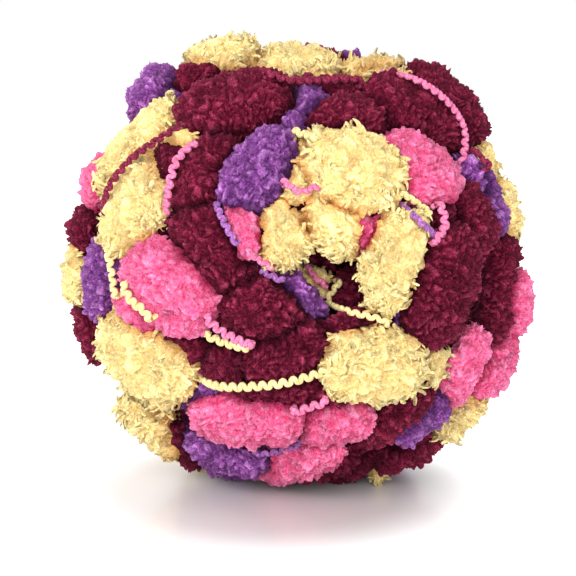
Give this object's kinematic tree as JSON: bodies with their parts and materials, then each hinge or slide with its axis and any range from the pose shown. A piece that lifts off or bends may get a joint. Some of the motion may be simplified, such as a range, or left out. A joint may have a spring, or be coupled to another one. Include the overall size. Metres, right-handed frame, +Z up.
{
  "type": "ball of pompom yarn",
  "caption": "Wound centre-pull ball of pompom yarn: soft oval pompoms in wine, cream, pink and violet, joined by a thin crimped thread and wound round an open middle.",
  "frame": {"origin": "centre of the ball's footprint, on the surface that it stands on", "axes": "+Z up, -Y out of the open middle, +X to the right of someone who faces the open middle"},
  "size_m": [0.1829, 0.15, 0.1734],
  "materials": {
    "wine": "plush",
    "cream": "plush",
    "pink": "plush",
    "violet": "plush"
  },
  "bodies": {
    "root": {"ball": "wine"}
  },
  "joints": []
}
